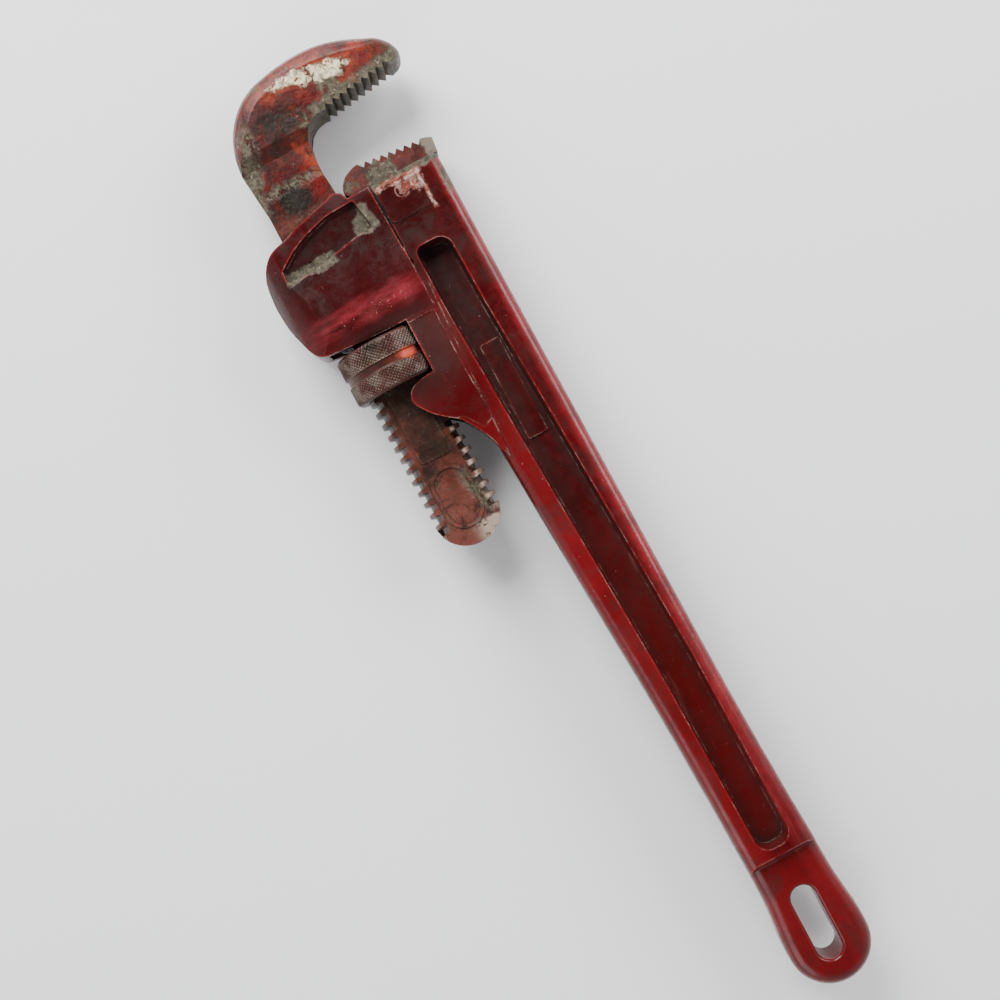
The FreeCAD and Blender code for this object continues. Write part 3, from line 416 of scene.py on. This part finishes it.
def hook_paint():
    """Hook jaw: flaking red over bare steel and old filler, greasy shank, grey teeth, a painted highlight
    along the crown and painted shade in the corners.
    """
    s = Shader("worn_hook_paint")
    shaken = s.bend(0.0170, 120.0)
    crumbled = s.bend(0.0075, 260.0)
    x = s.axis("X")
    y = s.axis("Y")
    ragged_x = s.axis("X", crumbled)
    ragged_y = s.axis("Y", crumbled)
    hook_part = s.fit(x, -0.006, 0.000)
    red = s.mix(s.fit(s.noise(55.0, 8.0, 0.72, 0.9), 0.38, 0.62), HOOK_DARK, HOOK_RED)
    shank_red = s.mix(s.fit(s.noise(85.0, 7.0, 0.7), 0.38, 0.64), SHANK_DARK, SHANK_RED)
    shank_end = s.fit(x, -0.118, -0.132, 0.0, 0.6)
    shank_red = s.mix(shank_end, shank_red, SHANK_END)
    paint = s.mix(hook_part, shank_red, red)
    # a painted orange highlight along the crown's rounding, and orange-red undercoat along the throat's
    # lower edge
    crown_line = s.spot((0.0405, 0.0130), (0.056, 0.0125), turn=82.0, soft=0.35, vector=shaken)
    painted_highlight = s.times(crown_line, s.fit(s.noise(120.0, 7.0, 0.74, 0.6), 0.42, 0.56, 0.0, 0.95))
    paint = s.mix(painted_highlight, paint, ORANGE)
    flecks = s.times(s.fit(s.noise(150.0, 8.0, 0.76, 0.9), 0.55, 0.60), hook_part)
    paint = s.mix(s.times(flecks, 0.75), paint, UNDERCOAT)
    throat_lip = s.spot((0.0165, 0.0285), (0.022, 0.0060), turn=12.0, soft=0.3, vector=crumbled)
    paint = s.mix(s.times(throat_lip, s.fit(s.noise(160.0, 6.0, 0.7), 0.40, 0.52)), paint, ORANGE)
    # grease on the shank's panel and at the mouth, dark blotches on the hook
    panel = s.times(s.within(ragged_y, 0.0322, 0.0448, 0.0006), s.within(ragged_x, -0.1100, -0.0560, 0.001))
    grease = s.times(panel, s.fit(s.noise(100.0, 6.0, 0.66), 0.30, 0.60, 0.25, 0.85))
    near_nut = s.times(s.within(x, -0.096, -0.050, 0.010), 0.35)
    mouth = s.spot((0.0010, 0.0400), (0.0115, 0.0150), soft=0.30, vector=crumbled)
    blotch = s.spot((0.0270, 0.0330), (0.020, 0.026), turn=20.0, soft=0.5, vector=shaken)
    blotch = s.times(blotch, s.fit(s.noise(130.0, 7.0, 0.74), 0.38, 0.54, 0.0, 0.92))
    clouds = s.fit(s.noise(95.0, 8.0, 0.74, 0.9), 0.49, 0.60, 0.0, 0.75)
    # painted shade in the corners, from ambient occlusion
    corner_shade = s.times(s.crevice_shade(0.0036, 0.3, 0.90), 0.92)
    dirt_and_shade = s.most(grease, near_nut, s.times(mouth, 0.95), blotch, clouds, corner_shade)
    colour = s.mix(dirt_and_shade, paint, s.mix(s.fit(s.noise(160.0, 4.0), 0.35, 0.65), GRIME_AND_SHADE, GREEN_GRIME_AND_SHADE))
    # bare metal: toothed side, throat, a band down the back of the neck, patches
    along = s.math("ADD", ragged_x, s.times(ragged_y, 0.142))
    toothed = s.times(s.within(along, 0.0200, 0.0316, 0.0006), s.fit(ragged_y, 0.0205, 0.0185))
    toothed = s.times(toothed, s.fit(s.noise(210.0, 6.0, 0.72), 0.34, 0.48, 0.35, 1.0))
    face = s.spot((0.0352, 0.0085), (0.0110, 0.0090), soft=0.2, vector=crumbled)
    back = s.spot((0.0165, 0.0500), (0.034, 0.0075), turn=-16.0, soft=0.3, vector=shaken)
    shoulder = s.spot((0.0470, 0.0380), (0.0110, 0.0045), turn=60.0, soft=0.3, vector=crumbled)
    collar = s.spot((0.0070, 0.0400), (0.0040, 0.028), soft=0.5, vector=crumbled)
    throat = s.spot((0.0236, 0.0180), (0.0038, 0.0150), soft=0.2, vector=crumbled)
    tip = s.spot((0.0345, -0.0185), (0.0090, 0.0060), turn=100.0, soft=0.4, vector=crumbled)
    low_teeth = s.times(s.fit(ragged_y, 0.0296, 0.0280), s.within(x, -0.141, -0.100, 0.003))
    end_strip = s.times(s.fit(ragged_x, -0.1372, -0.1388), s.fit(y, 0.0410, 0.0350))
    low_side = s.spot((-0.1290, 0.0300), (0.022, 0.0055), turn=18.0, soft=0.4, vector=crumbled)
    flaked = s.times(s.fit(s.noise(170.0, 8.0, 0.78, 0.6), 0.585, 0.61), s.fit(x, -0.15, 0.03, 0.35, 1.0))
    chips = s.times(s.edges(0.0006, 0.015, 0.10), s.fit(s.noise(190.0, 7.0, 0.76), 0.47, 0.54))
    solid = s.fit(s.noise(300.0, 7.0, 0.76), 0.38, 0.45)
    patches = s.most(face, back, shoulder, throat, s.times(tip, 0.4), low_teeth, end_strip, low_side)
    patches = s.times(patches, solid)
    patches = s.most(patches, s.times(collar, s.fit(s.noise(240.0, 7.0, 0.78), 0.44, 0.50)))
    bare = s.most(patches, toothed, s.times(flaked, 0.85), s.times(chips, 0.75))
    # oil and painted shade in the bare metal's hollows, from ambient occlusion
    metal = s.mix(s.times(s.crevice_shade(0.0024, 0.25, 0.88), 0.92), bare_metal(s), OIL_AND_SHADE)
    metal = s.mix(s.times(s.most(end_strip, low_teeth), 0.85), metal, PALE)
    colour = s.mix(bare, colour, metal)
    # cream patch along the crown, partly a painted highlight on its rounding
    crown = s.spot((0.0396, 0.0135), (0.0330, 0.0068), turn=81.0, soft=0.12, vector=s.bend(0.012, 150.0))
    nib = s.spot((0.0438, -0.0120), (0.0070, 0.0026), turn=100.0, soft=0.2, vector=crumbled)
    cream_and_highlight = s.times(s.most(crown, nib), s.fit(s.noise(190.0, 8.0, 0.78, 0.6), 0.42, 0.46))
    cream_and_highlight = s.times(cream_and_highlight, s.fit(s.noise(620.0, 3.0), 0.38, 0.43))
    colour = s.mix(cream_and_highlight, colour, s.mix(s.fit(s.noise(480.0, 5.0), 0.42, 0.62), CREAM, CREAM_DIRTY))
    rough = s.fit(s.noise(90.0, 7.0, 0.72), 0.32, 0.68, 0.20, 0.44)
    rough = s.math("ADD", rough, s.times(s.most(bare, cream_and_highlight), 0.15), clamp=True)
    cast = s.times(s.noise(420.0, 6.0, 0.65), 0.9)
    dents = s.times(s.noise(95.0, 4.0, 0.6), 1.8)
    height = s.math("SUBTRACT", s.math("ADD", cast, dents), s.times(s.most(bare, cream_and_highlight), 0.9))
    return s.finish(colour, rough, s.times(bare, 0.3), height, 0.00030, coat=0.08, coat_rough=0.15,
                    specular=0.18)


def heel_paint():
    """Heel jaw: bare grey-green steel with remains of dark red paint."""
    s = Shader("worn_heel_steel")
    shaken = s.bend(0.0080, 240.0)
    x = s.axis("X", shaken)
    y = s.axis("Y", shaken)
    paint = s.mix(s.fit(s.noise(90.0, 7.0, 0.7), 0.36, 0.64), HEEL_DARK, HEEL_RED)
    low = s.within(y, -0.0112, 0.0012, 0.0006)
    top = s.times(s.fit(y, 0.0118, 0.0130), s.fit(s.noise(230.0, 7.0, 0.75), 0.44, 0.50))
    crests = s.times(s.fit(x, -0.0030, -0.0018), s.fit(s.noise(210.0, 7.0, 0.75), 0.44, 0.50))
    painted = s.most(low, top, crests)
    colour = s.mix(painted, bare_metal(s), paint)
    colour = s.mix(s.times(s.fit(s.noise(260.0, 6.0, 0.72), 0.58, 0.62), 0.5), colour, HEEL_FLECK)
    foot = s.fit(y, -0.0112, -0.0122)
    colour = s.mix(s.times(foot, 0.9), colour, HEEL_FOOT)
    # painted shade in the corners from ambient occlusion, and dirt clouds
    dirt_and_shade = s.most(s.times(s.crevice_shade(0.003, 0.3, 0.90), 0.92),
                  s.fit(s.noise(130.0, 7.0, 0.74), 0.53, 0.61, 0.0, 0.7))
    colour = s.mix(dirt_and_shade, colour, GRIME_AND_SHADE)
    worn = s.times(s.edges(0.0005, 0.015, 0.10), s.fit(s.noise(260.0, 5.0), 0.42, 0.52))
    colour = s.mix(s.times(worn, 0.6), colour, HEEL_EDGE)
    rough = s.fit(s.noise(90.0, 5.0), 0.3, 0.7, 0.32, 0.60)
    height = s.math("ADD", s.noise(460.0, 6.0, 0.65), s.times(painted, 0.7))
    return s.finish(colour, rough, s.fit(painted, 0.0, 1.0, 0.3, 0.0), height, 0.00024, specular=0.25)


def nut_iron():
    """Adjusting nut: brown-red knurled iron with light crests, and valleys black with oil and painted
    shade.
    """
    s = Shader("knurled_nut_iron")
    x = s.axis("X")
    y = s.axis("Y")
    z = s.axis("Z")
    down = s.math("SUBTRACT", y, AXIS_Y)
    radius = s.math("SQRT", s.math("ADD", s.times(down, down), s.times(z, z)))
    crest = s.fit(radius, NUT_RADIUS - 0.00035, NUT_RADIUS - 0.00003)
    base = s.mix(s.fit(s.noise(90.0, 6.0, 0.66, 0.5), 0.34, 0.66), NUT_DARK, NUT_BROWN)
    light = s.mix(s.fit(s.noise(75.0, 6.0, 0.7), 0.46, 0.62), NUT_RED, NUT_LIGHT)
    colour = s.mix(s.times(crest, s.fit(s.noise(150.0, 6.0, 0.7), 0.34, 0.60, 0.10, 0.90)), base, light)
    band = s.within(x, NUT_X + BAND_FROM + 0.00005, NUT_X + BAND_TO - 0.00005, 0.0003)
    band_paint = s.mix(s.fit(s.noise(160.0, 5.0), 0.35, 0.68), BAND_DARK, BAND_RED)
    # painted highlight on the nut's lower side, over the plain band and spreading onto the knurl
    painted_highlight = s.spot((NUT_X - 0.0004, 0.0300), (0.0050, 0.0082), soft=0.30, z=0.0150,
                  vector=s.bend(0.006, 240.0))
    colour = s.mix(s.most(band, s.times(painted_highlight, 0.6)), colour, s.mix(painted_highlight, band_paint, BAND_HIGHLIGHT_ORANGE))
    ends = s.times(s.edges(0.0007, 0.02, 0.12), s.fit(s.noise(190.0, 5.0), 0.44, 0.56))
    colour = s.mix(s.times(ends, 0.7), colour, NUT_EDGE)
    # painted shade in the knurl's valleys and other hollows, from ambient occlusion, and dirt clouds
    dirt_and_shade = s.most(s.times(s.crevice_shade(0.0022, 0.3, 0.88), 0.88),
                  s.fit(s.noise(80.0, 7.0, 0.7), 0.54, 0.66, 0.0, 0.7))
    colour = s.mix(dirt_and_shade, colour, GRIME_AND_SHADE)
    rough = s.fit(s.noise(130.0, 5.0), 0.3, 0.7, 0.28, 0.48)
    return s.finish(colour, rough, s.fit(crest, 0.0, 1.0, 0.1, 0.45), s.noise(620.0, 5.0, 0.6), 0.00010,
                    specular=0.25)


def oiled_steel(name, light, dark):
    """Small steel pieces: drawn finish, dark oil and painted shade in the corners, a little rust."""
    s = Shader(name)
    tone = s.mix(s.fit(s.noise(220.0, 6.0, 0.65), 0.35, 0.7), dark, light)
    colour = s.mix(s.times(s.crevice_shade(0.002, 0.3, 0.85), 0.8), tone, GRIME_AND_SHADE)
    colour = s.mix(s.fit(s.noise(80.0, 5.0), 0.6, 0.72, 0.0, 0.6), colour, RUST)
    rough = s.fit(s.noise(160.0, 5.0), 0.3, 0.7, 0.28, 0.5)
    height = s.noise(60.0, 4.0, 0.6, 0.0, s.stretched(1.0, 9.0, 9.0))
    return s.finish(colour, rough, 0.85, height, 0.00006)


def floor_paper():
    """Pale studio paper with a faint tooth."""
    s = Shader("studio_paper")
    tone = s.mix(s.noise(3.0, 4.0), (0.84, 0.845, 0.85), (0.88, 0.885, 0.89))
    rough = s.fit(s.noise(40.0), 0.3, 0.7, 0.75, 0.9)
    return s.finish(tone, rough, 0.0, s.noise(900.0, 3.0), 0.00003, specular=0.2)


def give(obj, material):
    """The material becomes the object's only one."""
    obj.data.materials.clear()
    obj.data.materials.append(material)


# ------------------------------------------------------------------ knurled nut

def knurl(turn, x):
    """Diamond knurl: two crossing sets of grooves, 0 on a crest and 1 in a valley."""
    around = turn * KNURL_COUNT / math.tau
    across = KNURL_RISE * x
    first = abs(((around + across) % 1.0) * 2.0 - 1.0)
    second = abs(((around - across) % 1.0) * 2.0 - 1.0)
    crest_share = 0.35
    return max(max(first, second) - crest_share, 0.0) / (1.0 - crest_share)


def nut_outer(turn, x):
    """Outer radius at a place along the nut, x from its middle: two knurled bands and a plain one."""
    edge = NUT_HALF - abs(x)
    if BAND_FROM <= x <= BAND_TO:
        ramp = min((x - BAND_FROM) / BAND_SLOPE, (BAND_TO - x) / BAND_SLOPE, 1.0)
        return NUT_RADIUS - (NUT_RADIUS - BAND_RADIUS) * ramp
    fade = min(edge / END_BEVEL, abs(x - BAND_FROM) / KNURL_FADE, abs(x - BAND_TO) / KNURL_FADE, 1.0)
    return NUT_RADIUS - max(END_BEVEL - edge, 0.0) - KNURL_DEPTH * knurl(turn, x) * fade


def nut_inner(turn, x):
    """Bore with the same right-hand thread as the CAD nut."""
    mouth = NUT_HALF - abs(x)
    if mouth < MOUTH_BEVEL:
        return BORE_RADIUS + (MOUTH_BEVEL - mouth)
    start = THREAD_START + PITCH / 2 - NUT_X
    phase = (x - start - PITCH * turn / math.tau) / PITCH
    away = abs((phase + 0.5) % 1.0 - 0.5) * PITCH
    wall = (away - THREAD_FLAT) / THREAD_FLANK
    return THREAD_RADIUS - (THREAD_RADIUS - BORE_RADIUS) * min(max(wall, 0.0), 1.0)


def make_nut():
    """Lathe-like shell whose outside is knurled and whose inside is threaded."""
    around, outside, inside = 792, 150, 96
    rows = [(NUT_HALF * (2 * i / (outside - 1) - 1), nut_outer) for i in range(outside)]
    rows += [(NUT_HALF * (1 - 2 * i / (inside - 1)), nut_inner) for i in range(inside)]
    verts, faces = [], []
    for x, radius_at in rows:
        for k in range(around):
            turn = math.tau * k / around
            radius = radius_at(turn, x)
            verts.append((NUT_X + x, AXIS_Y + radius * math.cos(turn), radius * math.sin(turn)))
    for i in range(len(rows)):
        here, following = i * around, ((i + 1) % len(rows)) * around
        for k in range(around):
            after = (k + 1) % around
            faces.append((here + k, following + k, following + after, here + after))
    mesh = bpy.data.meshes.new("nut_knurled")
    mesh.from_pydata(verts, [], faces)
    mesh.validate()
    mesh.update()
    for polygon in mesh.polygons:
        polygon.use_smooth = True
    nut = bpy.data.objects.new("nut_knurled", mesh)
    bpy.context.scene.collection.objects.link(nut)
    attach(nut, "nut")
    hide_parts("adjusting_nut")
    give(nut, nut_iron())


# ------------------------------------------------------------------ stage and light

def make_floor():
    """A wide sheet just under the wrench's lowest point."""
    half = 3.0
    level = cad_box[0][2] - 0.0002
    mesh = bpy.data.meshes.new("floor")
    corner_shade = [(-half, -half, level), (half, -half, level), (half, half, level), (-half, half, level)]
    mesh.from_pydata(corner_shade, [], [(0, 1, 2, 3)])
    floor = bpy.data.objects.new("floor", mesh)
    bpy.context.scene.collection.objects.link(floor)
    give(floor, floor_paper())


def area_light(name, place, aim, size, power):
    """A rectangular soft box; the power is in watts."""
    data = bpy.data.lights.new(name, "AREA")
    data.shape = "RECTANGLE"
    data.size, data.size_y = size
    data.energy = power
    lamp = bpy.data.objects.new(name, data)
    lamp.location = place
    lamp.rotation_euler = (Vector(aim) - Vector(place)).to_track_quat("-Z", "Y").to_euler()
    bpy.context.scene.collection.objects.link(lamp)


def make_lights():
    middle = (-0.13, 0.02, 0.0)
    area_light("key", (0.85, 0.15, 0.75), middle, (0.8, 0.8), 31.0)
    area_light("side", (0.15, -0.95, 0.60), middle, (0.9, 0.5), 13.0)
    area_light("fill", (-0.75, 0.75, 0.75), middle, (0.8, 0.8), 6.0)
    make_world()


def make_world():
    """Soft room light that is pale round the horizon and darker straight overhead."""
    world = bpy.data.worlds.new("studio")
    bpy.context.scene.world = world
    world.use_nodes = True
    tree = world.node_tree
    direction = tree.nodes.new("ShaderNodeTexCoord").outputs["Generated"]
    split = tree.nodes.new("ShaderNodeSeparateXYZ")
    tree.links.new(direction, split.inputs[0])
    level = tree.nodes.new("ShaderNodeMapRange")
    tree.links.new(split.outputs["Z"], level.inputs["Value"])
    level.inputs["From Min"].default_value = 0.45
    level.inputs["From Max"].default_value = 0.95
    level.inputs["To Min"].default_value = 1.0
    level.inputs["To Max"].default_value = 0.06
    backdrop = tree.nodes["Background"]
    backdrop.inputs[0].default_value = (0.95, 0.97, 1.0, 1.0)
    tree.links.new(level.outputs["Result"], backdrop.inputs[1])


# ------------------------------------------------------------------ put together

make_camera()
crimson = enamel()
give(nodes["handle"], crimson)
give(nodes["hook_jaw"], hook_paint())
give(nodes["heel_jaw"], heel_paint())
give(nodes["heel_jaw_pin"], crimson)  # painted over together with the handle
spring_steel = oiled_steel("spring_steel_oiled", (0.32, 0.31, 0.29), (0.10, 0.09, 0.08))
give(nodes["coil_spring"], spring_steel)
give(nodes["flat_spring"], spring_steel)
give(nodes["flat_spring_rivet"], oiled_steel("rivet_steel", (0.28, 0.26, 0.24), (0.10, 0.08, 0.07)))
make_nut()
make_floor()
make_lights()
